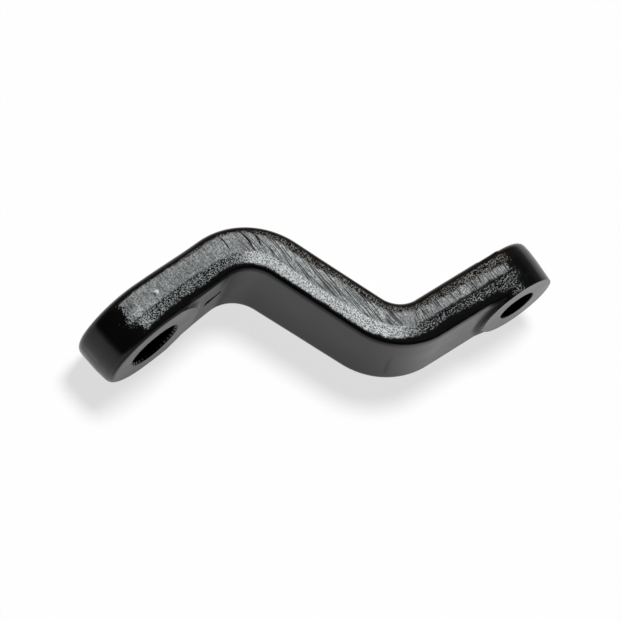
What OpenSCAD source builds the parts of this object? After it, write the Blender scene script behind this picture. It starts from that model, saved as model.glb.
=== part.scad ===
// Drop pitman arm: one bent steel drop forging with a splined boss and a tapered eye.
// Frame: origin at the middle of the splined bore, bore axis along Y, arm runs along +X,
// width across Z. +Y is the steering box side, -Y the nut side.

/* [Lay-out] */
// distance between the two hole centres along the big end, mm
reach = 175.5; // [162:0.5:186]
// distance between the two hole centres along the splined bore's axis, mm
drop = 98; // [88:0.5:107]
// straight length from the splined bore to the first bend, mm
big_straight = 48; // [44:0.5:50]
// angle of the first bend, degrees
bend_first = 72; // [68:0.5:75]
// angle of the second bend, degrees
bend_second = 67.5; // [64:0.5:71]
// radius of the first bend at mid thickness, mm
bend_first_r = 32.5; // [29:0.5:35]
// radius of the second bend at mid thickness, mm
bend_second_r = 29; // [26:0.5:32]

/* [Forged section] */
// thickness of the arm between its bosses, mm
arm_t = 24.8; // [23.6:0.2:26.4]
// width of the arm's straight sides, carried back to the splined bore's centre line, mm
arm_w_big = 52; // [50:0.2:56]
// width of the arm at the eye's centre line, mm
arm_w_eye = 44.6; // [42:0.2:44.8]
// draft of the forged walls, degrees
draft = 5.5; // [4:0.5:7]
// radius of the forged corners, mm
corner_r = 4; // [2.6:0.1:4.3]
// upper edge of the flash trim band above mid thickness, big end, mm
trim_top_big = 7.6; // [5:0.1:7.8]
// upper edge of the flash trim band above mid thickness, eye end, mm
trim_top_eye = 4.4; // [2.5:0.1:6.5]
// lower edge of the flash trim band below mid thickness, mm
trim_low = 2.5; // [1:0.1:5]
// where the band's upper edge starts to come down, share of the arm's length
trim_from = 0.36; // [0.3:0.01:0.42]
// length over which the band's upper edge comes down, share of the arm's length
trim_over = 0.14; // [0.1:0.01:0.2]

/* [Big end] */
// diameter of the round big end at the trim band, mm
boss_d = 64; // [62:0.5:68]
// length over which the big end narrows and thins down to the arm, mm
big_len = 50; // [42:1:58]
// how much deeper the lower face lies at the big end than along the arm, mm
big_rise = 1.4; // [0.4:0.1:2]
// height of the round lower seat over the big end's lower face, mm
boss_rise = 0.6; // [0.3:0.1:1.2]
// diameter of the round lower seat, mm
boss_seat_d = 59; // [56:0.5:62]
// length of the forged blend round the lower seat, mm
boss_blend_len = 4; // [3:0.5:7]
// depth of the spot face in the lower seat, mm
boss_spot = 0.1; // [0.05:0.05:0.3]
// diameter of the spot face in the lower seat, mm
boss_spot_d = 46; // [42:0.5:48]
// height of the round upper hub over the arm's upper face, mm
hub_rise = 0.9; // [0.6:0.1:2]
// diameter of the round upper hub, mm
hub_d = 52; // [48:0.5:54]
// edge break round the upper hub, mm
hub_edge = 0.6; // [0.3:0.1:1]

/* [Splined bore] */
// number of spline teeth
spline_teeth = 36; // [30:2:40]
// diameter over the spline's root, mm
spline_major = 31.75; // [31:0.05:32.5]
// diameter across the tooth tips, mm
spline_minor = 29.7; // [29.2:0.05:30.2]
// width of a spline groove at the tooth tips, share of the pitch
groove_share = 0.5; // [0.44:0.01:0.52]
// width of a spline groove at its root, share of its width at the tips
groove_root = 0.5; // [0.3:0.05:0.6]
// chamfer at both ends of the bore beyond the spline's root, mm
bore_chamfer = 0.45; // [0.2:0.05:0.8]

/* [Eye] */
// diameter of the eye at the trim band, mm
eye_d = 45.6; // [45.2:0.2:48]
// draft of the eye's lower wall, degrees
eye_draft = 3; // [2:0.5:5]
// radius between the eye and the arm's sides in plan, mm
eye_blend_r = 25; // [15:1:40]
// height of the machined pad over the arm's lower face, mm
eye_rise = 2.3; // [1.6:0.1:3.4]
// part of the pad's height that the forged blend takes, mm
eye_blend_rise = 1.1; // [0.5:0.1:1.3]
// length of the forged blend in front of the pad, mm
eye_blend_len = 7; // [5:0.5:10]
// edge break round the pad, mm
pad_edge = 0.2; // [0.1:0.05:0.6]
// depth of the spot face on the upper side, mm
eye_spot = 0.8; // [0.4:0.1:1.4]
// diameter of the tapered hole at the lower pad, mm
taper_d = 21.4; // [19.5:0.1:22.5]
// taper of the hole on the diameter, mm per mm of depth
taper_rate = 0.125; // [0.1:0.005:0.15]
// chamfer at the hole's lower end, mm
taper_chamfer = 0.4; // [0.2:0.05:0.8]

/* [Hidden] */
deg = 180 / PI;
half_t = arm_t / 2;
boss_r = boss_d / 2;
eye_r = eye_d / 2;
end_turn = bend_second - bend_first;

// straight lengths that close the lay-out
run_x = reach - big_straight - bend_first_r * sin(bend_first)
        - bend_second_r * (sin(bend_first) + sin(end_turn));
run_y = drop - bend_first_r * (1 - cos(bend_first))
        - bend_second_r * (cos(end_turn) - cos(bend_first));
mid_straight = (run_y * cos(end_turn) + run_x * sin(end_turn)) / sin(bend_second);
eye_straight = (run_x * sin(bend_first) - run_y * cos(bend_first)) / sin(bend_second);

// stations of the bends along the mid line
s1 = big_straight;
s2 = s1 + bend_first_r * bend_first / deg;
s3 = s2 + mid_straight;
s4 = s3 + bend_second_r * bend_second / deg;
arm_len = s4 + eye_straight;

// centres and ends of the bends
c1 = [s1, -bend_first_r];
p2 = c1 + bend_first_r * [sin(bend_first), cos(bend_first)];
p3 = p2 + mid_straight * [cos(bend_first), -sin(bend_first)];
c2 = p3 + bend_second_r * [sin(bend_first), cos(bend_first)];
p4 = c2 + bend_second_r * [sin(end_turn), -cos(end_turn)];

// direction and position of the mid line
function turn(s) =
    s < s1 ? 0 :
    s < s2 ? -(s - s1) / bend_first_r * deg :
    s < s3 ? -bend_first :
    s < s4 ? -bend_first + (s - s3) / bend_second_r * deg : end_turn;
function mid(s) =
    s < s1 ? [s, 0] :
    s < s2 ? c1 + bend_first_r * [-sin(turn(s)), cos(turn(s))] :
    s < s3 ? p2 + (s - s2) * [cos(bend_first), -sin(bend_first)] :
    s < s4 ? c2 + bend_second_r * [sin(turn(s)), -cos(turn(s))] :
    p4 + (s - s4) * [cos(end_turn), sin(end_turn)];
// a point of the straight blank, carried to the bent arm
function bent(s, n, z) =
    let (a = turn(s), m = mid(s))
    [m[0] - n * sin(a), m[1] + n * cos(a), z];

// smooth step from 0 to 1
function ease(x) = let (t = min(1, max(0, x))) t * t * (3 - 2 * t);

// plan outline of the straight blank; it ends just inside the eye,
// whose trim band reaches a little further than the arm's
skin = 0.15;
band_lap = 0.25;
eye_low = trim_low + band_lap;
eye_high = trim_top_eye + band_lap;
tip_r = eye_r - skin;
side_slope = atan2((arm_w_eye - arm_w_big) / 2, arm_len);
// a point [s, z] turned by the lean g of a side
function leant(s, z, g) = [s * cos(g) - z * sin(g), s * sin(g) + z * cos(g)];
// half width and lean of a side, which flares out to the round big end
big_flare = boss_r - arm_w_big / 2;
function half_w(s) = arm_w_big / 2 + s * tan(side_slope) + big_flare * (1 - ease(s / big_len));
function lean(s) =
    let (t = min(1, max(0, s / big_len)))
    tan(side_slope) - big_flare * 6 * t * (1 - t) / big_len;
// point of a side at station s, moved in by d
function side_point(s, d) =
    let (m = lean(s), r = sqrt(1 + m * m))
    [s + d * m / r, half_w(s) - d / r];
// centre of the hollow blend between the eye and a side
eye_z = arm_w_eye / 2 * cos(side_slope) + eye_blend_r;
eye_s = sqrt(max(pow(tip_r + eye_blend_r, 2) - eye_z * eye_z, 0));
ec = leant(eye_s, eye_z, -side_slope);
eye_touch = atan2(ec[1], ec[0]);
end_steps = 10;
side_steps = 66;
eye_steps = 4;
// station at which a side meets the eye's blend
side_end = arm_len - ec[0] + eye_blend_r * sin(side_slope);
// half outline at inset d, from the big end's tip to the eye, as [station, half width]
function half(d) = concat(
    [for (i = [0:end_steps])
        let (a = 180 - 90 * (i + 0.5) / (end_steps + 0.5))
        (boss_r - d) * [cos(a), sin(a)]],
    [for (i = [1:side_steps - 1])
        side_point(side_end * i / side_steps, d)],
    [for (i = [0:eye_steps - 1])
        let (a = 270 - side_slope + (eye_touch - 90 + side_slope) * i / eye_steps)
        [arm_len - ec[0] - (eye_blend_r + d) * cos(a), ec[1] + (eye_blend_r + d) * sin(a)]],
    [for (i = [0:eye_steps])
        let (a = eye_touch + (90 - eye_touch) * i / eye_steps)
        [arm_len - (tip_r - d) * (i == eye_steps ? 0 : cos(a)), (tip_r - d) * sin(a)]]);
outer = half(0);
inner = half(1);
face_ref = half(corner_r + 1);
count = len(outer);
function inset_at(i, d) = outer[i] + (inner[i] - outer[i]) * d;

// depth of the forged lower face below mid thickness, with the raised seat and the eye's blend
seat_stock = half_t + big_rise + boss_rise;
function near_boss(s, z) = 1 - ease((norm([s, z]) - boss_seat_d / 2) / boss_blend_len);
function near_eye(s, z) = 1 - ease((norm([s - arm_len, z]) - eye_r + 1) / eye_blend_len);
function big_end(s) = 1 - ease(s / big_len);
function plain(s) = half_t + big_rise * big_end(s);
function lower(s, z) =
    plain(s) + (seat_stock - plain(s)) * near_boss(s, z) + eye_blend_rise * near_eye(s, z);

// upper edge of the trim band along the arm
function trim_top(s) =
    trim_top_big + (trim_top_eye - trim_top_big) * ease((s / arm_len - trim_from) / trim_over);

// wall and rounded corner: inset and height, a from 0 at the wall to 1 at the face
function wall_end(h) = h - corner_r + corner_r * sin(draft);
function wall_inset(h, b) = max(h - b, 0) * tan(draft);
function corner_inset(h, b, a) =
    wall_inset(wall_end(h), b) + corner_r * (cos(draft) - cos(draft + (90 - draft) * a));
function corner_height(h, a) = h - corner_r + corner_r * sin(draft + (90 - draft) * a);

// layers from the lower face's edge up to the upper face's edge
arc_steps = 5;
layers = 2 * arc_steps + 4;
function place(i, k) =
    let (f = face_ref[i], s = outer[i][0])
    k <= arc_steps ?
        let (a = 1 - k / arc_steps, h = lower(f[0], f[1]), p = inset_at(i, corner_inset(h, trim_low, a)))
        [p[0], -corner_height(h, a), p[1]] :
    k == arc_steps + 1 ? [s, -trim_low, outer[i][1]] :
    k == arc_steps + 2 ? [s, trim_top(s), outer[i][1]] :
        let (a = (k - arc_steps - 3) / arc_steps, p = inset_at(i, corner_inset(half_t, trim_top(s), a)))
        [p[0], corner_height(half_t, a), p[1]];
function near_point(i, k) = let (p = place(i, k)) bent(p[0], p[1], p[2]);
function far_point(i, k) = let (p = place(i, k)) bent(p[0], p[1], -p[2]);

// points: near side, far side, then the columns across the lower face
cols = 16;
near_side = [for (k = [0:layers - 1], i = [0:count - 1]) near_point(i, k)];
far_side = [for (k = [0:layers - 1], i = [0:count - 1]) far_point(i, k)];
across = [for (i = [0:count - 1], j = [1:cols - 1])
    let (p = place(i, 0), f = face_ref[i], t = 1 - 2 * j / cols)
    bent(p[0], -lower(f[0], f[1] * t), p[2] * t)];
far_start = layers * count;
across_start = 2 * far_start;
function near_id(i, k) = k * count + i;
function far_id(i, k) = far_start + k * count + i;
function low_id(i, j) =
    j == 0 ? near_id(i, 0) : j == cols ? far_id(i, 0) : across_start + i * (cols - 1) + j - 1;
// two triangles for the four points a, b, c, d
function two(a, b, c, d) = [[a, b, c], [a, c, d]];
walls = [for (k = [0:layers - 2], i = [0:count - 2]) each concat(
    two(near_id(i, k), near_id(i, k + 1), near_id(i + 1, k + 1), near_id(i + 1, k)),
    two(far_id(i, k), far_id(i + 1, k), far_id(i + 1, k + 1), far_id(i, k + 1)))];
under = [for (i = [0:count - 2], j = [0:cols - 1])
    each two(low_id(i, j), low_id(i + 1, j), low_id(i + 1, j + 1), low_id(i, j + 1))];
last = layers - 1;
upper = [for (i = [0:count - 2])
    each two(near_id(i, last), far_id(i, last), far_id(i + 1, last), near_id(i + 1, last))];
// strip that joins the two sides at the big end's tip
tip_low = concat([far_id(0, 1), near_id(0, 1)], [for (j = [0:cols]) low_id(0, j)]);
tip = [for (k = [1:last - 1])
    each two(far_id(0, k), far_id(0, k + 1), near_id(0, k + 1), near_id(0, k))];
// flat end, hidden inside the eye
end_eye = concat(
    [for (k = [last:-1:0]) far_id(count - 1, k)],
    [for (j = [cols - 1:-1:1]) low_id(count - 1, j)],
    [for (k = [0:last]) near_id(count - 1, k)]);

// the bent arm with its round big end
module arm() {
    polyhedron(points = concat(near_side, far_side, across),
               faces = concat(walls, under, upper, tip, [tip_low], [end_eye]), convexity = 6);
}

// puts a shape drawn along Z onto the big end
module at_boss() {
    rotate([-90, 0, 0])
        children();
}
// puts a shape drawn along Z onto the eye
module at_eye() {
    translate(concat(mid(arm_len), 0))
        rotate([0, 0, end_turn])
            rotate([-90, 0, 0])
                children();
}

// radius of a drafted wall at a height h beyond the edge b of the trim band
function wall_r(r, h, b) = r - wall_inset(h, b);
// radius at which a rounded corner runs out into the face at height h
function flat_r(r, h, b) = wall_r(r, wall_end(h), b) - corner_r * cos(draft);
// how far a cut reaches past the face it opens
over = 1;

// round hub on the big end's upper face
hub_top = half_t + hub_rise;
module hub() {
    rotate_extrude($fn = 120)
        polygon([[0, 0], [hub_d / 2, 0], [hub_d / 2, hub_top - hub_edge],
                 [hub_d / 2 - hub_edge, hub_top], [0, hub_top]]);
}

// eye: drafted both ways, rounded above, machined flat below
pad = half_t + eye_rise;
eye_top = half_t - eye_spot;
eye_stock = eye_top + skin;
pad_r = eye_r - (pad - pad_edge - eye_low) * tan(eye_draft);
module eye() {
    rotate_extrude($fn = 96)
        union() {
            polygon([[0, -pad], [pad_r - pad_edge, -pad], [pad_r, pad_edge - pad],
                     [eye_r, -eye_low], [eye_r, eye_high],
                     [wall_r(eye_r, wall_end(eye_stock), eye_high), wall_end(eye_stock)],
                     [flat_r(eye_r, eye_stock, eye_high), eye_stock], [0, eye_stock]]);
            translate([flat_r(eye_r, eye_stock, eye_high), eye_stock - corner_r])
                circle(r = corner_r, $fn = 72);
        }
}

// splined bore with its chamfers, and the spot face in the lower seat
tip_radius = spline_minor / 2;
root_radius = spline_major / 2;
groove_w = spline_minor * PI / spline_teeth * groove_share;
module spline_section() {
    circle(d = spline_minor, $fn = 120);
    for (i = [0:spline_teeth - 1])
        rotate(i * 360 / spline_teeth)
            polygon([[tip_radius - over, -groove_w / 2], [tip_radius, -groove_w / 2],
                     [root_radius, -groove_w / 2 * groove_root],
                     [root_radius, groove_w / 2 * groove_root],
                     [tip_radius, groove_w / 2], [tip_radius - over, groove_w / 2]]);
}
seat = seat_stock - boss_spot;
mouth_r = root_radius + bore_chamfer;
mouth_h = mouth_r - tip_radius;
module boss_bore() {
    translate([0, 0, -seat - over])
        linear_extrude(height = seat + hub_top + 2 * over)
            spline_section();
    translate([0, 0, -seat - over])
        cylinder(h = mouth_h + over, r1 = mouth_r + over, r2 = tip_radius, $fn = 120);
    translate([0, 0, hub_top - mouth_h])
        cylinder(h = mouth_h + over, r1 = tip_radius, r2 = mouth_r + over, $fn = 120);
    translate([0, 0, -seat - boss_spot - over])
        cylinder(h = boss_spot + over, d = boss_spot_d, $fn = 120);
}

// tapered eye hole with its chamfer, and the spot face on the upper side
function hole_r(h) = taper_d / 2 - (h + pad) * taper_rate / 2;
module eye_hole() {
    translate([0, 0, -pad - over])
        cylinder(h = pad + eye_top + 2 * over,
                 r1 = hole_r(-pad - over), r2 = hole_r(eye_top + over), $fn = 96);
    translate([0, 0, -pad - over])
        cylinder(h = taper_chamfer + over,
                 r1 = taper_d / 2 + taper_chamfer + over, r2 = taper_d / 2, $fn = 96);
    translate([0, 0, eye_top])
        cylinder(h = eye_spot + over, r = eye_r + over, $fn = 96);
}

module pitman_arm() {
    color("#1c1c1e")
        difference() {
            union() {
                arm();
                at_boss() hub();
                at_eye() eye();
            }
            at_boss() boss_bore();
            at_eye() eye_hole();
        }
}

pitman_arm();
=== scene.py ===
"""Looks of a drop pitman arm: forged skin with its trim band and grain, machined holes, black paint,
and a plain pale studio. The shape functions work in millimetres, Blender's objects are in metres."""
import math

import bmesh
import bpy
import numpy as np
from mathutils import Matrix, Vector, noise


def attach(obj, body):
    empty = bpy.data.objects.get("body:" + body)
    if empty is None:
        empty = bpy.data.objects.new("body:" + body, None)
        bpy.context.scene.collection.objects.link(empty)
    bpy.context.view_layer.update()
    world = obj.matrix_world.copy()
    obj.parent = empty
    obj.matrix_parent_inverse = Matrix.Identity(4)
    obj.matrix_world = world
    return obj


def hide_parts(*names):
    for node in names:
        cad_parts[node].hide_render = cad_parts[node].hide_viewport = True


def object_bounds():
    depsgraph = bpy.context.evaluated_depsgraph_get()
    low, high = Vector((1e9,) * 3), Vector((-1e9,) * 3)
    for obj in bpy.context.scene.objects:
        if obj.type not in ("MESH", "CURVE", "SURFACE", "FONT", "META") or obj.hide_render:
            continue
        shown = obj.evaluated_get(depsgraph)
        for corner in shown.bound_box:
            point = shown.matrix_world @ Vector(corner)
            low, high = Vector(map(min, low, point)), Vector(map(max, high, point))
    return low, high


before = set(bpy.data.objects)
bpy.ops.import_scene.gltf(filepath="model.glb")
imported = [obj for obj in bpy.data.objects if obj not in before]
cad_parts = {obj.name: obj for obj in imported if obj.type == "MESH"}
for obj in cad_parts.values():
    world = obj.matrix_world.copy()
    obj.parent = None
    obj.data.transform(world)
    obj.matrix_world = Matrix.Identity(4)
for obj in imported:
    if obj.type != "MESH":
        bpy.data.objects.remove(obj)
cad_low, cad_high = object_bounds()

MM = 0.001
NODE = "pitman_arm"

# Sizes of the forging, as the part has them, mm and degrees
REACH = 175.5
DROP = 98.0
BIG_STRAIGHT = 48.0
BEND_1 = math.radians(72.0)
BEND_2 = math.radians(67.5)
BEND_1_R = 32.5
BEND_2_R = 29.0
HALF_T = 12.4
ARM_W_BIG = 52.0
ARM_W_EYE = 44.6
DRAFT = math.radians(5.5)
CORNER_R = 4.0
TRIM_TOP_BIG = 7.6
TRIM_TOP_EYE = 4.4
TRIM_STEP = (0.36, 0.50)
TRIM_LOW = 2.5
TRIM_DIP = 1.2
BOSS_R = 32.0
BIG_LEN = 50.0
BIG_RISE = 1.4
SEAT_RISE = 0.5
SEAT = HALF_T + BIG_RISE + SEAT_RISE
SEAT_R = 29.6
SEAT_BLEND = 2.2
HUB_R = 26.0
HUB_RISE = 0.9
HUB_TOP = HALF_T + HUB_RISE
HUB_EDGE = 0.6
EYE_R = 22.8
EYE_DRAFT = math.radians(3.0)
EYE_BLEND_R = 25.0
EYE_BLEND_RISE = 1.1
EYE_BLEND_LEN = 7.0
EYE_BLEND_LAP = 1.0
PAD_RISE = 2.3
PAD = HALF_T + PAD_RISE
SPOT_DEPTH = 0.8
EYE_TOP = HALF_T - SPOT_DEPTH
TAPER_R = 10.7
TAPER_RATE = 0.125
TAPER_CHAMFER = 0.4

# Splined bore: radii, mm, and half widths of a groove, radians
TEETH = 36
SPLINE_ROOT_R = 15.875
SPLINE_TIP_R = 14.85
MOUTH_CHAMFER = 0.45
MOUTH_R = SPLINE_ROOT_R + MOUTH_CHAMFER
PITCH = 2 * math.pi / TEETH
GROOVE_HALF = 0.25 * PITCH
ROOT_SHARE = 0.5
ROOT_HALF = GROOVE_HALF * ROOT_SHARE * SPLINE_TIP_R / SPLINE_ROOT_R

# Lay-out of the mid line: two bends between three straight lengths
END_TURN = BEND_2 - BEND_1
RUN_X = (REACH - BIG_STRAIGHT - BEND_1_R * math.sin(BEND_1)
         - BEND_2_R * (math.sin(BEND_1) + math.sin(END_TURN)))
RUN_Y = (DROP - BEND_1_R * (1 - math.cos(BEND_1))
         - BEND_2_R * (math.cos(END_TURN) - math.cos(BEND_1)))
MID_STRAIGHT = (RUN_Y * math.cos(END_TURN) + RUN_X * math.sin(END_TURN)) / math.sin(BEND_2)
EYE_STRAIGHT = (RUN_X * math.sin(BEND_1) - RUN_Y * math.cos(BEND_1)) / math.sin(BEND_2)
S1 = BIG_STRAIGHT
S2 = S1 + BEND_1_R * BEND_1
S3 = S2 + MID_STRAIGHT
S4 = S3 + BEND_2_R * BEND_2
ARM_LEN = S4 + EYE_STRAIGHT
CENTRE_1 = (S1, -BEND_1_R)
POINT_2 = (S1 + BEND_1_R * math.sin(BEND_1), BEND_1_R * (math.cos(BEND_1) - 1))
POINT_3 = (POINT_2[0] + MID_STRAIGHT * math.cos(BEND_1), POINT_2[1] - MID_STRAIGHT * math.sin(BEND_1))
CENTRE_2 = (POINT_3[0] + BEND_2_R * math.sin(BEND_1), POINT_3[1] + BEND_2_R * math.cos(BEND_1))
POINT_4 = (CENTRE_2[0] + BEND_2_R * math.sin(END_TURN), CENTRE_2[1] - BEND_2_R * math.cos(END_TURN))
SIDE_SLOPE = (ARM_W_EYE - ARM_W_BIG) / 2 / ARM_LEN
FLARE = BOSS_R - ARM_W_BIG / 2
FACE_INSET = CORNER_R + 1
STATION_FIRST = -40
STATION_PAST = 30
STATION_STEP = 0.5
STATIONS = np.arange(STATION_FIRST, ARM_LEN + STATION_PAST, STATION_STEP)
UNBEND_PASSES = 3

# Fineness of the skin: steps round each form, remesh size in mm, evening-out passes and their two steps
TIP_SIZE = 0.001
TIP_STEPS = 61
SIDE_STEPS = 250
BLEND_STEPS = 12
EYE_STEPS = 10
CORNER_STEPS = 9
EYE_CORNER_STEPS = 10
ACROSS_STEPS = 41
TURNED_STEPS = 240
MOUTH_STEPS = 11
VOXEL = 0.71
SMOOTH_PASSES = 8
SMOOTH_IN = 0.5
SMOOTH_OUT = -0.52
SHARP_ANGLE = math.radians(40)
POINTS_AT_ONCE = 20000

# Room that shells and cutters have past the finished faces, mm
PAD_STOCK = 1.0
EYE_TOP_STOCK = 0.1
CUT_PAST = 1.0
PAD_CUT_R = 28.0
FACE_CUT_H = 5.0
GROOVE_PAST = 0.5
GROOVE_FLARE = 1.6
GROOVE_ENDS = (0.12, 0.88)

# Cracks and chips: first and last station, first and last offset or height, width
CRACKS = [(55.7, 57.9, 8.4, -1.4, 0.6), (65.4, 71.6, 8.2, -2.2, 0.6), (71.9, 74.8, 6.9, 1.4, 0.5),
          (207.8, 207.9, 4.2, -2.0, 0.6)]
CRACK_BOW = 0.3
CRACK_DEPTH = 0.9
CRACK_REACH = 0.8
CRACK_INSIDE = 0.25
CHIPS = [(38.2, 47.4, -0.6, 2.2, 2.4), (38.4, 42.6, 1.8, 1.7, 2.0)]
CHIP_WAVER = 0.2
CHIP_TURNS = 9
CHIP_DEPTH = 0.45
CHIP_REACH = (0.7, 1.5)
CHIP_NEAR_FACE = 2.0
MARK_STEPS = 7

# Crease: radius, first and last angle, width, depth. Pip: station and offset, radius, height
CREASE = (30.3, math.radians(83), math.radians(24), 1.7, 0.4)
CREASE_STEPS = 24
PIP = (6.2, 1.6)
PIP_R = 1.2
PIP_HEIGHT = 0.3
PIP_RIM = 0.1
PIP_ANGLES = np.linspace(-0.4, 1.5, 9)
PIP_STEPS = 20
PIP_SHADE_AT = (-1.3, -0.4)
PIP_SHADE_SIZE = (0.8, 1.0)

# Edges of the rough texture as stations and offsets, and lean of the tear lines as stations and degrees
LOW_EDGE = ([-12, 0, 10, 28, 43, 52, 85, 98, 112, 124, 146, 168, 186, 198, 218, 222, 226],
            [-11.8, -9.6, -8.6, -8.6, -8.4, -9.2, -9.9, -10.7, -11.3, -11.6, -10.0, -7.2, -5.2, -6.4,
             -7.4, -11.5, -15.0])
BAND_LOW = ([-8, 0, 11, 18, 25, 38, 50, 72, 85, 98, 110, 123, 135, 147, 157, 168, 180, 194, 220, 232],
            [-3.4, -3.5, -3.2, -2.6, -2.3, -2.4, -3.1, -2.6, -3.4, -3.8, -4.2, -3.7, -3.3, -2.6, -1.9,
             -0.8, -0.7, -1.1, -1.3, -1.8])
BAND_TOP = ([-12, 16, 30, 50, 62, 75, 81, 87, 94, 102, 114, 127, 140, 153, 168, 182, 196, 209, 219, 232],
            [9.0, 8.8, 8.0, 8.2, 8.4, 7.0, 6.4, 5.4, 5.0, 5.2, 5.9, 6.0, 5.4, 5.9, 6.5, 5.8, 4.8, 4.8,
             4.0, 2.8])
TEAR_LEAN = ([60, 72, 82, 94, 115, 140, 155, 168, 180], [55, 47, 35, 22, 18, 20, 38, 58, 72])

# Noise over the sides: grain size along, grain size across, offset
FINE = (1.5, 1.5, 0.3)
COARSE = (2.6, 2.2, 1.9)
TEARS = (14.0, 1.25, 2.4)
CROSS = (1.3, 9.0, 6.6)
WAVE = (22.0, 22.0, 9.5)
CORNER_NOISE = (4.0, 4.0, 6.1)
LOW_NOISE = (2.0, 2.0, 4.4)
END_NOISE = (6.0, 6.0, 1.3)
TOP_NOISE = (3.0, 3.0, 8.1)
SEAM_NOISE = (4.0, 4.0, 5.2)
FAR_SIDE_SHIFT = 7.3

# How far that noise shifts an edge of the texture, mm, or share of the tilt or of the ends' fade
CORNER_RAGGED = 0.04
LOW_RAGGED = 1.2
END_RAGGED = 0.45
TOP_RAGGED = 0.9
SEAM_RAGGED = 0.5

# Heights of the relief, mm
BAND_PROUD = 0.06
SEAM_DEPTH = 0.2
WAVE_HEIGHT = 0.03
BAND_LEFT_FINE, BAND_LEFT_COARSE = 0.07, 0.03
BAND_TEARS, BAND_MIDDLE_FINE = 0.05, 0.03
BAND_CROSS, BAND_RIGHT_FINE = 0.05, 0.04
LOWER_LEFT_COARSE, LOWER_LEFT_FINE = 0.14, 0.10
LOWER_MIDDLE_FINE, LOWER_MIDDLE_COARSE = 0.11, 0.04
LOWER_RIGHT_COARSE, LOWER_RIGHT_FINE = 0.13, 0.09
UPPER_COARSE, UPPER_FINE = 0.08, 0.06

# Where masks rise from 0 to 1: stations, offsets or heights in mm, or shares of a normal
MIDDLE_START = (S1 + 6, S1 + 26)
RIGHT_START = (S4 - 22, S4 - 4)
WIDE_START, WIDE_END = (S1 + 12, S1 + 30), (S4 - 24, S4 - 12)
SIDEWAYS = (0.5, 0.6)
SIDE_TILT = (0.14, 0.24)
WIDE_TILT = (0.15, 0.17)
LOW_FADE = (-0.5, 0.5)
TOP_FADE = (-0.4, 0.4)
BAND_LOW_FADE = (-0.3, 0.3)
TIP_FADE, TIP_SLANT, TIP_SLANT_FROM = (-19, -9), 0.12, 8
EYE_FADE = (ARM_LEN - 6, ARM_LEN + 4)
ALONG_FULL = 0.999
GRAIN_FADE = (0.2, 0.8)
SEAM_AT, SEAM_WIDTH = 0.4, 0.6
SEAM_SHARE = ([30, 60, S4 - 8, S4 + 8], [0.45, 0, 0, 1])
# Painted highlight on the band near the boss end: station, width, and where it rises and fades across
BOSS_HIGHLIGHT_AT, BOSS_HIGHLIGHT_WIDTH, BOSS_HIGHLIGHT_LOW, BOSS_HIGHLIGHT_TOP = -9, 2.8, (-12, -9), (0, 3)
# Painted reddish reflection across the lower face at the second bend: station, lean, width, offset below
# which it lies, start and end across
STREAK_AT, STREAK_LEAN, STREAK_WIDTH, STREAK_UNDER = 158.4, 0.04, 0.9, -10
STREAK_START, STREAK_END = (-17, -11), (-6, 14)
UNDERSIDE = (0.6, 0.9)
FLAT_UNDERSIDE = (0.95, 0.99)
SEAT_EDGE = (SEAT_R - 1, SEAT_R + 1)
SEAT_FADED, BIG_FACE_FADED, BIG_FADE_END = 0.76, 0.12, (S1 + 6, S1 + 26)
HOLLOW_FADED, HOLLOW_END, HOLLOW_LOW = 0.92, (3, 9), -14.2
EYE_FACE_FADED, EYE_FACE_START, EYE_FACE_LOW = 0.5, (S4 - 10, S4 + 5), -13.5
EDGE_START, EDGE_END, EDGE_FROM, EDGE_CLEAR = (0.70, 0.80), (0.985, 1.0), (S3 + 8, S4 - 6), (6, 9)
MATTE_TILT, MATTE_END = (0.35, 0.6), (ARM_LEN + 6, ARM_LEN + 13)

# Paint: noise per mm, then noise from low to high and the brightness that goes with it, which on the grain is
# painted sheen and glints
FINE_SCALE, SPECK_SCALE, PATCH_SCALE, CLOUD_SCALE = 1.2, 1.5, 0.16, 0.07
SPECK_DISTORTION = 0.5
TEAR_SCALE = (0.08, 2.1, 1.0)
CROSS_SCALE = (2.1, 0.12, 1.0)
GRIT = (0.34, 0.66, 0.35, 1.65)
PATCHES = (0.35, 0.65, 0.8, 1.2)
COVER_GRIT, COVER = 1.4, (1.1, 1.3, 0.0, 1.0)
# Levels of the grain's painted sheen and glints per region, lighter or darker by how each wall lies to the
# light
BAND_LEFT, BAND_MIDDLE = (0.36, 0.60, 0.12, 0.27), (0.45, 0.54, 0.0, 0.36)
BAND_RIGHT, LOWER_LEFT = (0.40, 0.55, 0.01, 0.29), (0.51, 0.58, 0.002, 0.39)
LOWER_MIDDLE, LOWER_RIGHT = (0.40, 0.58, 0.05, 0.72), (0.54, 0.61, 0.002, 0.35)
UPPER_ALL = (0.515, 0.61, 0.003, 0.28)
# Painted highlights: on the pip, then on the band near the boss end
PIP_HIGHLIGHT, BOSS_HIGHLIGHT_LEVEL = 0.5, (0.38, 0.60, 0.0, 0.32)
# Painted shade: how far the seam groove and the spot beside the pip darken the grain
SEAM_SHADE = (0.0, 0.9, 1.0, 0.05)
SUNK_FADE = (0.0, 0.4, 0.0, 1.0)

# Paint: colours, roughness and mirror level
BLACK_DEEP, BLACK_PALE = (0.002, 0.002, 0.0022, 1), (0.0045, 0.0043, 0.0042, 1)
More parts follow.
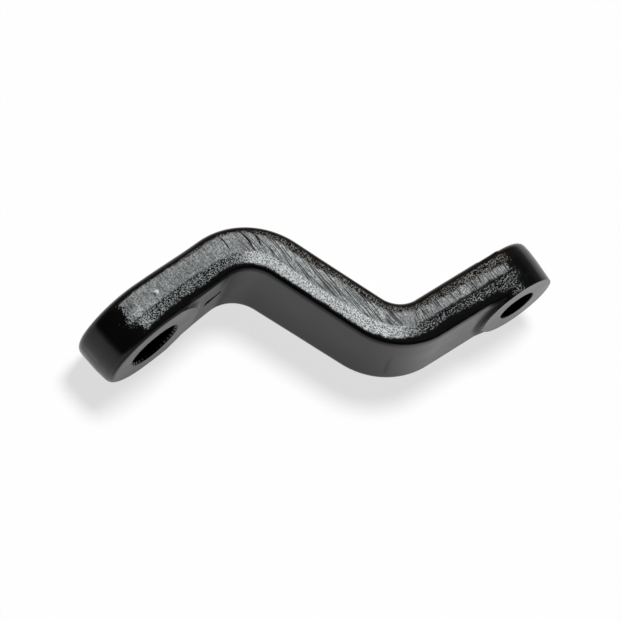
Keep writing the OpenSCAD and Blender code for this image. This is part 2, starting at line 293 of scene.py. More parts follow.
# The red is a painted reflection on the lower face at the second bend
BLACK_WARM, REFLECTED_RED = (0.008, 0.0055, 0.004, 1), (0.055, 0.01, 0.008, 1)
TINT_COOL, TINT_WARM = (0.945, 1.0, 1.01, 1), (1.04, 1.0, 0.92, 1)
SMOOTH_ROUGH = (0.3, 0.7, 0.21, 0.27)
BAND_ROUGH, LOWER_MIDDLE_ROUGH, LOWER_END_ROUGH, UPPER_ROUGH = 0.50, 0.46, 0.68, 0.66
MATTE_ROUGH, SUNK_ROUGH = 0.4, 0.5
MATTE_DULL, WALL_DULL, RED_REFLECTION_DULL = 0.9, 0.85, 0.5
MIRROR = (0.0, 1.0, 0.30, 0.0)
EDGE_MIRROR = 0.7
BUMP_DISTANCE = 0.00012

# Studio: floor in m, lamp and surround
FLOOR_HALF = 8.0
FLOOR_SHADE = 0.336
FLOOR_GLOW = 0.70
FLOOR_ROUGH = 0.9
WHITE = (1, 1, 1, 1)
KEY_ENERGY = 2.8
KEY_ANGLE = math.radians(16)
KEY_TOWARD = Vector((0.2508, 0.1273, 0.9596))
SURROUND = (0.012, 0.012, 0.013, 1)

# The photo's viewing angle, with the point it looks at and its scale
VIEW_AZIMUTH = math.radians(-67.28)
VIEW_ELEVATION = math.radians(62.37)
VIEW_ROLL = math.radians(28.31)
VIEW_TARGET = Vector((81.42, -48.28, 0.0)) * MM
VIEW_DISTANCE = 6.236
VIEW_PIXELS_PER_M = 1898.4
IMAGE_SIZE = 620
SENSOR = 36.0
CLIP_END = 50


def ramp(low, high, x):
    """Smooth step from 0 at low to 1 at high."""
    t = np.clip((x - low) / (high - low), 0, 1)
    return t * t * (3 - 2 * t)


def turn(s):
    """Direction of the mid line at station s, radians."""
    return np.interp(s, [S1, S2, S3, S4], [0, -BEND_1, -BEND_1, END_TURN])


def mid(s):
    """Point of the mid line at station s."""
    a = turn(s)
    parts = [s < S1, s < S2, s < S3, s < S4]
    x = np.select(parts, [s, CENTRE_1[0] - BEND_1_R * np.sin(a), POINT_2[0] + (s - S2) * math.cos(BEND_1),
                          CENTRE_2[0] + BEND_2_R * np.sin(a)], POINT_4[0] + (s - S4) * math.cos(END_TURN))
    y = np.select(parts, [0 * s, CENTRE_1[1] + BEND_1_R * np.cos(a), POINT_2[1] - (s - S2) * math.sin(BEND_1),
                          CENTRE_2[1] - BEND_2_R * np.cos(a)], POINT_4[1] + (s - S4) * math.sin(END_TURN))
    return x, y


def bent(s, n, z):
    """A point of the straight blank, carried to the bent arm."""
    a = turn(s)
    x, y = mid(s)
    return np.stack([x - n * np.sin(a), y + n * np.cos(a), z + 0 * s], -1)


def unbent(co):
    """Station and offset of points on the bent arm."""
    line = np.stack(mid(STATIONS), -1)
    s = np.empty(len(co))
    for i in range(0, len(co), POINTS_AT_ONCE):
        gap = co[i:i + POINTS_AT_ONCE, None, :2] - line[None]
        s[i:i + POINTS_AT_ONCE] = STATIONS[np.argmin((gap ** 2).sum(-1), 1)]
    for _ in range(UNBEND_PASSES):
        x, y = mid(s)
        a = turn(s)
        s = s + (co[:, 0] - x) * np.cos(a) + (co[:, 1] - y) * np.sin(a)
    x, y = mid(s)
    a = turn(s)
    return s, (co[:, 1] - y) * np.cos(a) - (co[:, 0] - x) * np.sin(a)


def trim_top(s):
    """Upper edge of the trim band along the arm."""
    return TRIM_TOP_BIG + (TRIM_TOP_EYE - TRIM_TOP_BIG) * ramp(*TRIM_STEP, s / ARM_LEN)


def trim_low(s):
    """Depth of the trim band's lower edge, which dips at the big end."""
    return TRIM_LOW + TRIM_DIP * (1 - ramp(0, BIG_LEN, s))


def lower_face(s, z):
    """Depth of the lower face, with the big end's raised seat and the blend in front of the eye's pad."""
    plain = HALF_T + BIG_RISE * (1 - ramp(0, BIG_LEN, s))
    seat = 1 - ramp(SEAT_R, SEAT_R + SEAT_BLEND, np.hypot(s, z))
    gap = np.hypot(s - ARM_LEN, z) - EYE_R + EYE_BLEND_LAP
    return plain + (SEAT - plain) * seat + EYE_BLEND_RISE * (1 - ramp(0, EYE_BLEND_LEN, gap))


def corner(height, band_edge, a):
    """Inset and height of the drafted wall's rounded corner, a from 0 at the wall to 1 at the face."""
    angle = DRAFT + (math.pi / 2 - DRAFT) * a
    wall_end = height - CORNER_R + CORNER_R * math.sin(DRAFT)
    inset = np.maximum(wall_end - band_edge, 0) * math.tan(DRAFT)
    return (inset + CORNER_R * (math.cos(DRAFT) - math.cos(angle)),
            height - CORNER_R + CORNER_R * math.sin(angle))


def side_line(s, inset):
    """Stations and half widths of the flared side at an inset."""
    t = np.clip(s / BIG_LEN, 0, 1)
    width = ARM_W_BIG / 2 + s * SIDE_SLOPE + FLARE * (1 - ramp(0, BIG_LEN, s))
    slope = SIDE_SLOPE - FLARE * 6 * t * (1 - t) / BIG_LEN
    length = np.hypot(1, slope)
    return s + inset * slope / length, width - inset / length


def outline(inset):
    """Half plan outline of the straight blank at an inset, from the big end's tip to the eye."""
    lean = math.atan(SIDE_SLOPE)
    z = ARM_W_EYE / 2 * math.cos(lean) + EYE_BLEND_R
    s = math.sqrt((EYE_R + EYE_BLEND_R) ** 2 - z ** 2)
    blend_s, blend_z = s * math.cos(lean) + z * math.sin(lean), z * math.cos(lean) - s * math.sin(lean)
    touch = math.atan2(blend_z, blend_s)
    a = np.linspace(math.pi, math.pi / 2, TIP_STEPS)
    b = np.linspace(0, ARM_LEN - blend_s + EYE_BLEND_R * math.sin(lean), SIDE_STEPS)[1:-1]
    c = np.linspace(1.5 * math.pi - lean, touch + math.pi, BLEND_STEPS)[:-1]
    d = np.linspace(touch, math.pi / 2, EYE_STEPS)
    side_s, side_z = side_line(b, inset)
    eye_s = ARM_LEN - np.concatenate([blend_s + (EYE_BLEND_R + inset) * np.cos(c),
                                      (EYE_R - inset) * np.cos(d)])
    eye_z = np.concatenate([blend_z + (EYE_BLEND_R + inset) * np.sin(c), (EYE_R - inset) * np.sin(d)])
    return (np.concatenate([(BOSS_R - inset) * np.cos(a), side_s, eye_s]),
            np.concatenate([(BOSS_R - inset) * np.sin(a), side_z, eye_z]))


def arm_rings():
    """Closed sections of the bent arm, from the big end's tip to the eye."""
    s0, z0 = outline(0.0)
    s1, z1 = outline(1.0)
    face_s, face_z = outline(FACE_INSET)
    steps = np.linspace(1, 0, CORNER_STEPS)
    near = []
    low = lower_face(face_s, face_z)
    for a in steps:
        d, h = corner(low, trim_low(s0), a)
        near.append((s0 + (s1 - s0) * d, -h, z0 + (z1 - z0) * d))
    near.append((s0, -trim_low(s0), z0))
    near.append((s0, trim_top(s0), z0))
    for a in steps[::-1]:
        d, h = corner(HALF_T, trim_top(s0), a)
        near.append((s0 + (s1 - s0) * d, h + 0 * s0, z0 + (z1 - z0) * d))
    across = np.linspace(1, -1, ACROSS_STEPS)[1:-1]
    top = [(near[-1][0], near[-1][1], near[-1][2] * t) for t in across]
    far = [(s, n, -z) for s, n, z in near[::-1]]
    under = [(near[0][0], -lower_face(face_s, face_z * t), near[0][2] * t) for t in -across]
    loop = [bent(s, n, z) for s, n, z in near + top + far + under]
    return np.stack(loop, 1)


def turned_rings(profile, centre, direction):
    """Rings of a body turned about the axis that stands across the mid line at a point."""
    t = np.linspace(0, 2 * math.pi, TURNED_STEPS, endpoint=False)
    r = np.array([p[0] for p in profile])[:, None]
    h = np.array([p[1] for p in profile])[:, None]
    along = r * np.cos(t)
    return np.stack([centre[0] + along * math.cos(direction) - h * math.sin(direction),
                     centre[1] + along * math.sin(direction) + h * math.cos(direction), r * np.sin(t)], -1)


def hub_profile():
    """Radius and height of the round hub on the big end's upper face."""
    return [(HUB_R, 0), (HUB_R, HUB_TOP - HUB_EDGE), (HUB_R - HUB_EDGE, HUB_TOP)]


def eye_profile():
    """Radius and height of the eye's outline, with stock left for its two facing cuts."""
    high = [corner(EYE_TOP + EYE_TOP_STOCK, TRIM_TOP_EYE, a) for a in np.linspace(0, 1, EYE_CORNER_STEPS)]
    low_r = EYE_R - (PAD + PAD_STOCK - TRIM_LOW) * math.tan(EYE_DRAFT)
    return ([(low_r, -PAD - PAD_STOCK), (EYE_R, -TRIM_LOW), (EYE_R, TRIM_TOP_EYE)]
            + [(EYE_R - d, h) for d, h in high])


def add_rings(bm, rings):
    """Adds a closed tube through rings of points. A first ring drawn out to a tip needs no flat end."""
    rows = [[bm.verts.new(p * MM) for p in ring] for ring in rings]
    count = len(rows[0])
    for low, high in zip(rows, rows[1:]):
        for i in range(count):
            j = (i + 1) % count
            bm.faces.new((low[i], low[j], high[j], high[i]))
    if np.ptp(rings[0][:, 2]) > TIP_SIZE:
        bm.faces.new(rows[0][::-1])
    bm.faces.new(rows[-1])


def closed_object(name, ring_sets):
    """Object made of one closed tube per set of rings."""
    bm = bmesh.new()
    for rings in ring_sets:
        add_rings(bm, rings)
    bmesh.ops.recalc_face_normals(bm, faces=bm.faces[:])
    mesh = bpy.data.meshes.new(name)
    bm.to_mesh(mesh)
    bm.free()
    made = bpy.data.objects.new(name, mesh)
    bpy.context.scene.collection.objects.link(made)
    return made


def apply_modifiers(piece):
    """Replaces an object's mesh by the result of its modifiers."""
    graph = bpy.context.evaluated_depsgraph_get()
    result = bpy.data.meshes.new_from_object(piece.evaluated_get(graph))
    piece.modifiers.clear()
    piece.data = result


def points_of(mesh):
    """Places of a mesh's points, one row each."""
    co = np.empty(len(mesh.vertices) * 3)
    mesh.vertices.foreach_get("co", co)
    return co.reshape(-1, 3)


def normals_of(mesh):
    """Normals at a mesh's points, one row each."""
    no = np.empty(len(mesh.vertices) * 3)
    mesh.vertex_normals.foreach_get("vector", no)
    return no.reshape(-1, 3)


def smooth_points(mesh, co):
    """Evens out the skin without shrinking it: each pass is a step in and a step back out."""
    edges = np.empty(len(mesh.edges) * 2, int)
    mesh.edges.foreach_get("vertices", edges)
    a, b = edges.reshape(-1, 2).T
    count = len(co)
    share = 1 / np.maximum(np.bincount(a, minlength=count) + np.bincount(b, minlength=count), 1)
    for step in [SMOOTH_IN, SMOOTH_OUT] * SMOOTH_PASSES:
        total = np.stack([np.bincount(a, co[b, k], count) + np.bincount(b, co[a, k], count)
                          for k in range(3)], 1)
        co = co + step * (total * share[:, None] - co)
    return co


def field(s, n, z, size_s, size_n, offset):
    """Noise over the blank's side, with its own grain size along and across; the two sides differ."""
    p = np.stack([s / size_s + offset, n / size_n - offset, np.sign(z) * FAR_SIDE_SHIFT + offset], 1)
    return np.array([noise.noise(v) for v in p.tolist()])


def tear_rise(s):
    """How far a tear line has dropped across the side at station s."""
    slope = np.tan(np.radians(np.interp(STATIONS, *TEAR_LEAN)))
    return np.interp(s, STATIONS, np.cumsum(slope) * STATION_STEP)


def gap_to(line, u, v):
    """Distance of points to a straight mark given by its first and last coordinates."""
    u0, u1, v0, v1 = line[:4]
    length = math.hypot(u1 - u0, v1 - v0)
    t = np.clip(((u - u0) * (u1 - u0) + (v - v0) * (v1 - v0)) / length ** 2, 0, 1)
    return np.hypot(u - u0 - t * (u1 - u0), v - v0 - t * (v1 - v0))


def sunk_mask(s, n, z):
    """1 down in a crack or a chip, 0 elsewhere."""
    wall = side_line(s, 0.0)[1] - np.abs(z)
    face = lower_face(s, z) + n
    crack = np.min([gap_to(line, s, n) for line in CRACKS], 0)
    chip = np.min([gap_to(line, s, z) for line in CHIPS], 0)
    in_crack = (crack < CRACK_REACH) * (wall > CRACK_INSIDE) * (z > 0)
    return in_crack + (1 - ramp(*CHIP_REACH, chip)) * (np.abs(face) < CHIP_NEAR_FACE)


def side_mask(s, n, z, tilt, sideways):
    """1 on the rough side walls, which reach further round the lower corner on the arm's middle."""
    wide = ramp(*WIDE_START, s) * (1 - ramp(*WIDE_END, s)) * (n < 0)
    first, last = SIDE_TILT[0] + WIDE_TILT[0] * wide, SIDE_TILT[1] + WIDE_TILT[1] * wide
    over_edge = n - np.interp(s, *LOW_EDGE) + LOW_RAGGED * field(s, n, z, *LOW_NOISE)
    return (1 - ramp(first, last, tilt)) * sideways * ramp(*LOW_FADE, over_edge)


def along_mask(s, n, z):
    """1 on the arm, fading out raggedly towards its two ends."""
    slant = s + TIP_SLANT * (n - TIP_SLANT_FROM)
    along = np.interp(slant, TIP_FADE, [0, 1]) * np.interp(s, EYE_FADE, [1, 0])
    return along + END_RAGGED * field(s, n, z, *END_NOISE) * (along < ALONG_FULL)


def streak_mask(s, n, z):
    """1 on the faint reddish streak across the lower face at the second bend, a painted reflection."""
    streak = np.exp(-((s - STREAK_AT + STREAK_LEAN * z) / STREAK_WIDTH) ** 2) * (n < STREAK_UNDER)
    return streak * ramp(*STREAK_START, z) * (1 - ramp(*STREAK_END, z))


def faded_mask(s, n, z, facing, to_eye):
    """How dull the paint is on the lower face: at the big end, before the eye and in the pad's hollow."""
    off_seat = ramp(*SEAT_EDGE, np.hypot(s, z))
    big = (SEAT_FADED + BIG_FACE_FADED * off_seat) * (1 - ramp(*BIG_FADE_END, s))
    hollow = HOLLOW_FADED * (1 - ramp(*HOLLOW_END, to_eye)) * (n > HOLLOW_LOW)
    faded = np.maximum(big, hollow) * ramp(*UNDERSIDE, -facing)
    eye_face = EYE_FACE_FADED * ramp(*EYE_FACE_START, s) * (n > EYE_FACE_LOW)
    return np.maximum(faded, eye_face * ramp(*FLAT_UNDERSIDE, -facing))


def pip_shade(s, n, z):
    """1 in the small shadow beside the pip."""
    off_s = (s - PIP[0] - PIP_SHADE_AT[0]) / PIP_SHADE_SIZE[0]
    off_n = (n - PIP[1] - PIP_SHADE_AT[1]) / PIP_SHADE_SIZE[1]
    return np.exp(-off_s ** 2 - off_n ** 2) * (z > 0)


def regions(co, normal):
    """Where each finish lies: masks from 0 to 1, and the points' places on the straight blank."""
    s, n = unbent(co)
    z = co[:, 2]
    a = turn(s)
    facing = normal[:, 1] * np.cos(a) - normal[:, 0] * np.sin(a)
    sideways = ramp(*SIDEWAYS, np.abs(normal[:, 2]))
    tilt = np.abs(facing) + CORNER_RAGGED * field(s, n, z, *CORNER_NOISE)
    to_eye = np.hypot(s - ARM_LEN, z) - EYE_R
    pip = (np.hypot(s - PIP[0], n - PIP[1]) < PIP_R + PIP_RIM) * (z > 0)
    side = np.maximum(side_mask(s, n, z, tilt, sideways), pip)
    along = along_mask(s, n, z)
    right = ramp(*RIGHT_START, s)
    over_low = n - np.interp(s, *BAND_LOW)
    ragged = SEAM_RAGGED * field(s, n, z, *SEAM_NOISE)
    upper = ramp(*TOP_FADE, n - np.interp(s, *BAND_TOP) + TOP_RAGGED * field(s, n, z, *TOP_NOISE))
    lower = 1 - ramp(*BAND_LOW_FADE, over_low + ragged)
    # Seam line below the band: a shallow groove with painted shade in it; the pip's painted shadow joins this
    # mask
    seam_and_pip_shade = np.exp(-((over_low + SEAM_AT + ragged) / SEAM_WIDTH) ** 2) * np.interp(s, *SEAM_SHARE)
    # Painted highlight on the band near the boss end
    boss_highlight = np.exp(-((s - BOSS_HIGHLIGHT_AT) / BOSS_HIGHLIGHT_WIDTH) ** 2)
    boss_highlight = boss_highlight * ramp(*BOSS_HIGHLIGHT_LOW, n) * (1 - ramp(*BOSS_HIGHLIGHT_TOP, n)) * (z > 0)
    edge = ramp(*EDGE_START, -facing) * (1 - ramp(*EDGE_END, -facing))
    masks = {"side": side, "along": along, "upper": upper, "lower": lower,
             "band": (1 - upper) * (1 - lower), "right": right,
             "middle": ramp(*MIDDLE_START, s) * (1 - right),
             "seam_and_pip_shade": np.maximum(seam_and_pip_shade, pip_shade(s, n, z)), "pip": pip, "boss_highlight": boss_highlight,
             "red_reflection": streak_mask(s, n, z), "faded": faded_mask(s, n, z, facing, to_eye),
             "edge": edge * ramp(*EDGE_FROM, s) * ramp(*EDGE_CLEAR, to_eye),
             "matte": sideways * (1 - ramp(*MATTE_TILT, tilt)) * (1 - ramp(*MATTE_END, s)),
             "sunk": sunk_mask(s, n, z)}
    return masks, (s, n, z)


def forged_relief(co, normal):
    """Height of the forging's surface texture over its smooth form, mm."""
    r, (s, n, z) = regions(co, normal)
    fine = field(s, n, z, *FINE)
    coarse = field(s, n, z, *COARSE)
    tears = field(s, n + tear_rise(s), z, *TEARS)
    cross = field(s, n, z, *CROSS)
    middle, right = r["middle"], r["right"]
    left = (1 - middle) * (1 - right)
    band = left * (BAND_LEFT_FINE * fine + BAND_LEFT_COARSE * coarse)
    band = band + middle * (BAND_TEARS * tears + BAND_MIDDLE_FINE * fine)
    band = band + right * (BAND_CROSS * cross + BAND_RIGHT_FINE * fine)
    lower = left * (LOWER_LEFT_COARSE * coarse + LOWER_LEFT_FINE * fine)
    lower = lower + middle * (LOWER_MIDDLE_FINE * fine + LOWER_MIDDLE_COARSE * coarse)
    lower = lower + right * (LOWER_RIGHT_COARSE * coarse + LOWER_RIGHT_FINE * fine)
    upper = UPPER_COARSE * coarse + UPPER_FINE * fine
    grain = r["side"] * ramp(*GRAIN_FADE, r["along"])
    relief = (r["band"] * (band + BAND_PROUD) + r["lower"] * lower + r["upper"] * upper) * grain
    return relief - SEAM_DEPTH * r["seam_and_pip_shade"] * grain + WAVE_HEIGHT * field(s, n, z, *WAVE)


def spline_radius(a):
    """Radius of the splined section at angle a, with a groove at every pitch."""
    off = abs((a + PITCH / 2) % PITCH - PITCH / 2)
    if off >= GROOVE_HALF:
        return SPLINE_TIP_R
    depth = min(1.0, (GROOVE_HALF - off) / (GROOVE_HALF - ROOT_HALF))
    return SPLINE_TIP_R + (SPLINE_ROOT_R - SPLINE_TIP_R) * depth


def bore_rings():
    """Cutter of the splined bore and its two chamfers."""
    marks = [-ROOT_HALF, ROOT_HALF, GROOVE_HALF, 2 * GROOVE_HALF, 3 * GROOVE_HALF]
    angles = np.array([i * PITCH + m for i in range(TEETH) for m in marks])
    spline = np.array([spline_radius(a) for a in angles])
    mouth = np.linspace(-CUT_PAST, MOUTH_R - SPLINE_TIP_R, MOUTH_STEPS)
    rows = [(-SEAT + d, MOUTH_R - d) for d in mouth] + [(HUB_TOP - d, MOUTH_R - d) for d in mouth[::-1]]
    rings = [(h, np.maximum(spline, r)) for h, r in rows]
    return np.stack([np.stack([r * np.cos(angles), 0 * r + h, r * np.sin(angles)], 1) for h, r in rings])


def taper_r(h):
    """Radius of the eye's tapered hole at height h."""
    return TAPER_R - (h + PAD) * TAPER_RATE / 2


def eye_cut_profile():
    """Cutter of the tapered hole, its chamfer and the upper spot face."""
    wide = EYE_R + CUT_PAST
    return [(TAPER_R + TAPER_CHAMFER + CUT_PAST, -PAD - CUT_PAST),
            (taper_r(TAPER_CHAMFER - PAD), TAPER_CHAMFER - PAD),
            (taper_r(EYE_TOP), EYE_TOP), (wide, EYE_TOP), (wide, EYE_TOP + FACE_CUT_H)]


def groove_rings(points, width, depth, up):
    """Wedge cutter along points, as wide as given at the surface."""
    points = np.array(points, float)
    along = np.gradient(points, axis=0)
    along /= np.linalg.norm(along, axis=1)[:, None]
    share = np.sin(np.linspace(*GROOVE_ENDS, len(points)) * math.pi)[:, None]
    half = np.cross(along, up) * width / 2 * share
    above = up * GROOVE_PAST
    return np.stack([points - up * depth * share, points + half, points + half * GROOVE_FLARE + above,
                     points - half * GROOVE_FLARE + above, points - half], 1)


def side_groove(s, n, width, depth):
    """Cutter of a crack in the trim band."""
    z = side_line(s, 0.0)[1] + BAND_PROUD
    return groove_rings(bent(s, n, z), width, depth, np.array((0.0, 0.0, 1.0)))


def face_groove(s, z, width, depth):
    """Cutter of a mark in the big end's lower face."""
    return groove_rings(bent(s, -lower_face(s, z), z), width, depth, np.array((0.0, -1.0, 0.0)))


def crack_rings():
    """Cutters of the cracks across the trim band."""
    t = np.linspace(0, 1, MARK_STEPS)
    bow = CRACK_BOW * np.sin(t * math.pi)
    return [side_groove(a + (b - a) * t + bow, c + (d - c) * t, width, CRACK_DEPTH)
            for a, b, c, d, width in CRACKS]


def chip_rings():
    """Cutters of the chip in the lower face."""
    t = np.linspace(0, 1, MARK_STEPS)
    waver = CHIP_WAVER * np.sin(t * CHIP_TURNS)
    return [face_groove(a + (b - a) * t, c + (d - c) * t + waver, width, CHIP_DEPTH)
            for a, b, c, d, width in CHIPS]


def crease_rings():
    """Cutter of the crease along the raised seat's edge."""
    r, first, last, width, depth = CREASE
    a = np.linspace(first, last, CREASE_STEPS)
    return face_groove(r * np.cos(a), r * np.sin(a), width, depth)


def pip_rings():
    """Small round knob on the trim band."""
    s, n = np.array([PIP[0]]), np.array([PIP[1]])
    x, y, z = bent(s, n, side_line(s, 0.0)[1])[0]
    around = np.linspace(0, 2 * math.pi, PIP_STEPS, endpoint=False)
    rings = []
    for a in PIP_ANGLES:
        r = PIP_R * math.cos(a)
        rings.append(np.stack([x + r * np.cos(around), y + r * np.sin(around),
                               0 * around + z + PIP_HEIGHT * math.sin(a)], 1))
    return np.stack(rings)


def cut(piece, cutter, operation="DIFFERENCE"):
    """Takes a cutter's shape out of a piece, or joins it on."""
    change = piece.modifiers.new("cut", "BOOLEAN")
    change.operation = operation
    change.solver = "EXACT"
    change.object = cutter
    apply_modifiers(piece)
    bpy.data.objects.remove(cutter)


def set_points(mesh, co):
    """Moves a mesh's points."""
    mesh.vertices.foreach_set("co", co.ravel())
    mesh.update()


def forging():
    """The arm's skin: shells joined and evened out, then its texture, then the machined cuts and marks."""
    eye_at = [float(v[0]) for v in mid(np.array([ARM_LEN]))]
    shells = [arm_rings(), turned_rings(hub_profile(), (0, 0), 0.0),
              turned_rings(eye_profile(), eye_at, END_TURN)]
    piece = closed_object("forged_arm", shells)
    skin = piece.modifiers.new("skin", "REMESH")
    skin.mode = "VOXEL"
    skin.voxel_size = VOXEL * MM
    apply_modifiers(piece)
    co = smooth_points(piece.data, points_of(piece.data))
    set_points(piece.data, co)
    normal = normals_of(piece.data)
    co = co + normal * forged_relief(co / MM, normal)[:, None] * MM
    set_points(piece.data, np.clip(co, np.array(cad_low), np.array(cad_high)))
    pad_cut = [(PAD_CUT_R, -PAD - FACE_CUT_H), (PAD_CUT_R, -PAD)]
    cut(piece, closed_object("pad_cut", [turned_rings(pad_cut, eye_at, END_TURN)]))
    holes = [bore_rings(), turned_rings(eye_cut_profile(), eye_at, END_TURN)]
    cut(piece, closed_object("hole_cut", holes + crack_rings()))
    for rings in chip_rings() + [crease_rings()]:
        cut(piece, closed_object("mark_cut", [rings]))
    cut(piece, closed_object("pip", [pip_rings()]), "UNION")
    piece.data.shade_smooth()
    piece.data.set_sharp_from_angle(angle=SHARP_ANGLE)
    return piece


def store_regions(piece):
    """Writes the finish's regions onto the piece, for the paint to read."""
    mesh = piece.data
    masks, (s, n, z) = regions(points_of(mesh) / MM, normals_of(mesh))
    for name, values in masks.items():
        made = mesh.attributes.new(name, "FLOAT", "POINT")
        made.data.foreach_set("value", values.astype(np.float32))
    for name, across in (("lay", n), ("tear_lay", n + tear_rise(s))):
        lay = mesh.attributes.new(name, "FLOAT_VECTOR", "POINT")
        lay.data.foreach_set("vector", np.stack([s, across, z], 1).astype(np.float32).ravel())


class Paint:
    """Small helper that adds and links nodes of one material."""

    def __init__(self, name):
        self.material = bpy.data.materials.new(name)
        self.material.use_nodes = True
        self.tree = self.material.node_tree
        self.shader = self.tree.nodes["Principled BSDF"]

    def put(self, socket, value):
        """Links a node's output to a socket, or sets a plain value."""
        if isinstance(value, bpy.types.NodeSocket):
            self.tree.links.new(value, socket)
        else:
            socket.default_value = value

    def attribute(self, name, output="Fac"):
        """A value stored on the piece."""
        node = self.tree.nodes.new("ShaderNodeAttribute")
        node.attribute_name = name
        return node.outputs[output]

    def math(self, operation, a, b):
        """Result of one sum on two values."""
        node = self.tree.nodes.new("ShaderNodeMath")
        node.operation = operation
        self.put(node.inputs[0], a)
        self.put(node.inputs[1], b)
        return node.outputs[0]

    def rest(self, value):
        """What is left of 1."""
        return self.math("SUBTRACT", 1.0, value)

    def blend(self, parts):
        """Sum of values, each with its share."""
        total = 0.0
        for share, value in parts:
            total = self.math("ADD", total, self.math("MULTIPLY", share, value))
        return total

    def scaled(self, color, level):
        """A colour at a brightness level."""
        node = self.tree.nodes.new("ShaderNodeVectorMath")
        node.operation = "SCALE"
        self.put(node.inputs[0], color)
        self.put(node.inputs["Scale"], level)
        return node.outputs[0]

    def stretch(self, vector, scale):
        """Coordinates scaled along each axis."""
        node = self.tree.nodes.new("ShaderNodeMapping")
        self.put(node.inputs["Vector"], vector)
        node.inputs["Scale"].default_value = scale
        return node.outputs[0]

    def noise(self, vector, scale, distortion=0.0):
        """Noise between 0 and 1 at a scale."""
        node = self.tree.nodes.new("ShaderNodeTexNoise")
        self.put(node.inputs["Vector"], vector)
        node.inputs["Scale"].default_value = scale
        node.inputs["Distortion"].default_value = distortion
        return node.outputs[0]

    def fit(self, value, low, high, to_low, to_high):
        """A value carried from one range to another, held at its ends."""
        node = self.tree.nodes.new("ShaderNodeMapRange")
        for socket, v in zip(node.inputs, (value, low, high, to_low, to_high)):
            self.put(socket, v)
        return node.outputs[0]

    def mix(self, share, a, b):
        """Colour a turned into colour b by a share."""
        node = self.tree.nodes.new("ShaderNodeMix")
        node.data_type = "RGBA"
        self.put(node.inputs["Factor"], share)
        self.put(node.inputs[6], a)
        self.put(node.inputs[7], b)
        return node.outputs[2]


def black_paint():
    """Semi-gloss black over the forging: glossy on smooth metal, broken up by grain, tears and specks; their
    grey is painted sheen and glints.
    """
    p = Paint("black_paint")
    lay = p.attribute("lay", "Vector")
    middle, right = p.attribute("middle"), p.attribute("right")
    left = p.math("SUBTRACT", p.rest(middle), right)
    in_band, in_lower, in_upper = p.attribute("band"), p.attribute("lower"), p.attribute("upper")
    fine = p.noise(lay, FINE_SCALE)
    speck = p.noise(lay, SPECK_SCALE, SPECK_DISTORTION)
    cloud = p.noise(lay, CLOUD_SCALE)
    tears = p.noise(p.stretch(p.attribute("tear_lay", "Vector"), TEAR_SCALE), 1.0)
    cross = p.noise(p.stretch(lay, CROSS_SCALE), 1.0)
    grit = p.math("MULTIPLY", p.fit(fine, *GRIT), p.fit(p.noise(lay, PATCH_SCALE), *PATCHES))
    cover = p.fit(p.math("ADD", p.attribute("along"), p.math("MULTIPLY", fine, COVER_GRIT)), *COVER)
    grain = p.math("MULTIPLY", p.attribute("side"), cover)
    smooth = p.rest(grain)
    matte = p.math("MULTIPLY", smooth, p.attribute("matte"))
    sunk = p.fit(p.attribute("sunk"), *SUNK_FADE)
    red_reflection = p.attribute("red_reflection")

    # Colour: painted sheen and glints on the rough grain, lighter or darker per region by how it lies to the
    # light, and the black round it
    band = p.blend(((left, p.fit(cross, *BAND_LEFT)), (middle, p.fit(tears, *BAND_MIDDLE)),
                    (right, p.fit(cross, *BAND_RIGHT))))
    lower = p.blend(((left, p.fit(speck, *LOWER_LEFT)), (middle, p.fit(speck, *LOWER_MIDDLE)),
                     (right, p.fit(speck, *LOWER_RIGHT))))
    # Painted highlights are added on the pip and on the band near the boss end
    level = p.blend(((in_band, p.math("MULTIPLY", band, grit)), (in_lower, lower),
                     (in_upper, p.fit(speck, *UPPER_ALL)), (p.attribute("pip"), PIP_HIGHLIGHT),
                     (p.attribute("boss_highlight"), p.fit(fine, *BOSS_HIGHLIGHT_LEVEL))))
    # Painted shade along the seam groove and painted shadow beside the pip
    level = p.math("MULTIPLY", level, p.fit(p.attribute("seam_and_pip_shade"), *SEAM_SHADE))
    tint = p.mix(in_upper, TINT_COOL, TINT_WARM)
    black = p.mix(cloud, BLACK_DEEP, BLACK_PALE)
    black = p.mix(p.math("MULTIPLY", in_upper, p.attribute("matte")), black, BLACK_WARM)
    # Painted reddish reflection across the lower face at the second bend
    black = p.mix(red_reflection, black, REFLECTED_RED)
    sheen_share = p.math("MULTIPLY", grain, p.rest(sunk))
    p.put(p.shader.inputs["Base Color"], p.mix(sheen_share, black, p.scaled(tint, level)))

    # Roughness, and how far each finish mirrors
    lower_rough = p.blend(((middle, LOWER_MIDDLE_ROUGH), (p.rest(middle), LOWER_END_ROUGH)))
    grain_rough = p.blend(((in_band, BAND_ROUGH), (in_lower, lower_rough), (in_upper, UPPER_ROUGH)))
    p.put(p.shader.inputs["Roughness"],
          p.blend(((grain, grain_rough), (smooth, p.fit(cloud, *SMOOTH_ROUGH)), (matte, MATTE_ROUGH),
                   (sunk, SUNK_ROUGH))))
    walls = p.blend(((in_lower, p.rest(middle)), (in_upper, 1.0)))
    dull = sunk
    for other in (p.math("MULTIPLY", matte, MATTE_DULL),
                  p.math("MULTIPLY", p.math("MULTIPLY", walls, grain), WALL_DULL),
                  p.attribute("faded"), p.math("MULTIPLY", red_reflection, RED_REFLECTION_DULL)):
        dull = p.math("MAXIMUM", dull, other)
    p.put(p.shader.inputs["Specular IOR Level"],
          p.blend(((1.0, p.fit(dull, *MIRROR)), (EDGE_MIRROR, p.attribute("edge")))))
    bump = p.tree.nodes.new("ShaderNodeBump")
    bump.inputs["Distance"].default_value = BUMP_DISTANCE
    bump.inputs["Strength"].default_value = 1.0
    p.put(bump.inputs["Height"], p.math("MULTIPLY", grain, fine))
    p.put(p.shader.inputs["Normal"], bump.outputs[0])
    return p.material


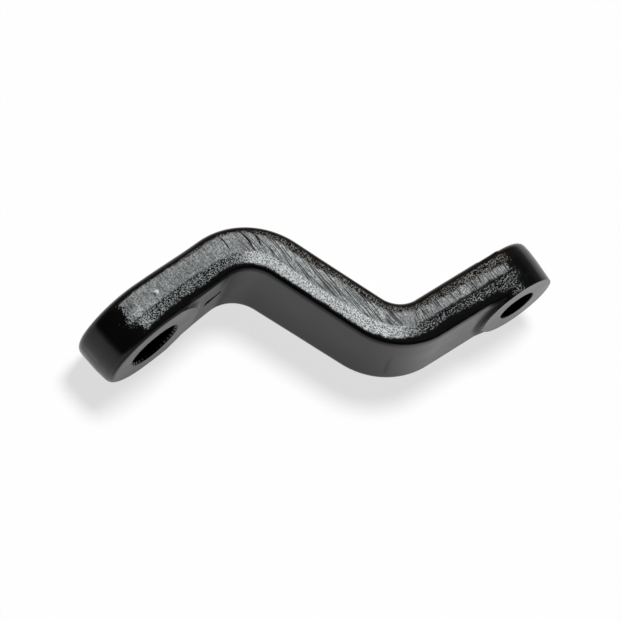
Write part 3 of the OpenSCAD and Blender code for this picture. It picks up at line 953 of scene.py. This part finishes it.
def floor_material():
    """Pale floor: part of its white is its own for camera and mirror rays, the rest catches the shadow."""
    p = Paint("pale_floor")
    p.put(p.shader.inputs["Base Color"], (FLOOR_SHADE, FLOOR_SHADE, FLOOR_SHADE, 1))
    p.put(p.shader.inputs["Roughness"], FLOOR_ROUGH)
    p.put(p.shader.inputs["Specular IOR Level"], 0.0)
    path = p.tree.nodes.new("ShaderNodeLightPath")
    seen = p.math("MAXIMUM", path.outputs["Is Camera Ray"], path.outputs["Is Glossy Ray"])
    seen = p.math("MAXIMUM", seen, path.outputs["Is Transmission Ray"])
    p.put(p.shader.inputs["Emission Color"], WHITE)
    p.put(p.shader.inputs["Emission Strength"], p.math("MULTIPLY", seen, FLOOR_GLOW))
    return p.material


def studio():
    """Floor under the part, one overhead key light and a dim surround."""
    mesh = bpy.data.meshes.new("floor")
    h, z = FLOOR_HALF, cad_low.z
    mesh.from_pydata([(-h, -h, z), (h, -h, z), (h, h, z), (-h, h, z)], [], [(0, 1, 2, 3)])
    floor = bpy.data.objects.new("floor", mesh)
    mesh.materials.append(floor_material())
    bpy.context.scene.collection.objects.link(floor)
    key = bpy.data.objects.new("key", bpy.data.lights.new("key", "SUN"))
    key.data.energy = KEY_ENERGY
    key.data.angle = KEY_ANGLE
    key.rotation_mode = "QUATERNION"
    key.rotation_quaternion = KEY_TOWARD.to_track_quat("Z", "Y")
    bpy.context.scene.collection.objects.link(key)
    world = bpy.data.worlds.new("surround")
    world.use_nodes = True
    world.node_tree.nodes["Background"].inputs["Color"].default_value = SURROUND
    bpy.context.scene.world = world


def photo_camera():
    """Long-lens camera at the photo's angle."""
    ce, se = math.cos(VIEW_ELEVATION), math.sin(VIEW_ELEVATION)
    back = Vector((math.sin(VIEW_AZIMUTH) * ce, -math.cos(VIEW_AZIMUTH) * ce, se))
    right = Vector((math.cos(VIEW_AZIMUTH), math.sin(VIEW_AZIMUTH), 0))
    up = back.cross(right)
    cr, sr = math.cos(VIEW_ROLL), math.sin(VIEW_ROLL)
    axes = Matrix((right * cr + up * sr, up * cr - right * sr, back)).transposed()
    camera = bpy.data.objects.new("camera", bpy.data.cameras.new("camera"))
    camera.data.sensor_width = SENSOR
    camera.data.lens = VIEW_PIXELS_PER_M * VIEW_DISTANCE / IMAGE_SIZE * SENSOR
    camera.data.clip_end = CLIP_END
    camera.matrix_world = Matrix.Translation(VIEW_TARGET + back * VIEW_DISTANCE) @ axes.to_4x4()
    bpy.context.scene.collection.objects.link(camera)
    bpy.context.scene.camera = camera


photo_camera()
studio()
arm = forging()
store_regions(arm)
arm.data.materials.clear()
arm.data.materials.append(black_paint())
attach(arm, "root")
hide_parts(NODE)
bpy.context.scene.view_settings.view_transform = "Standard"
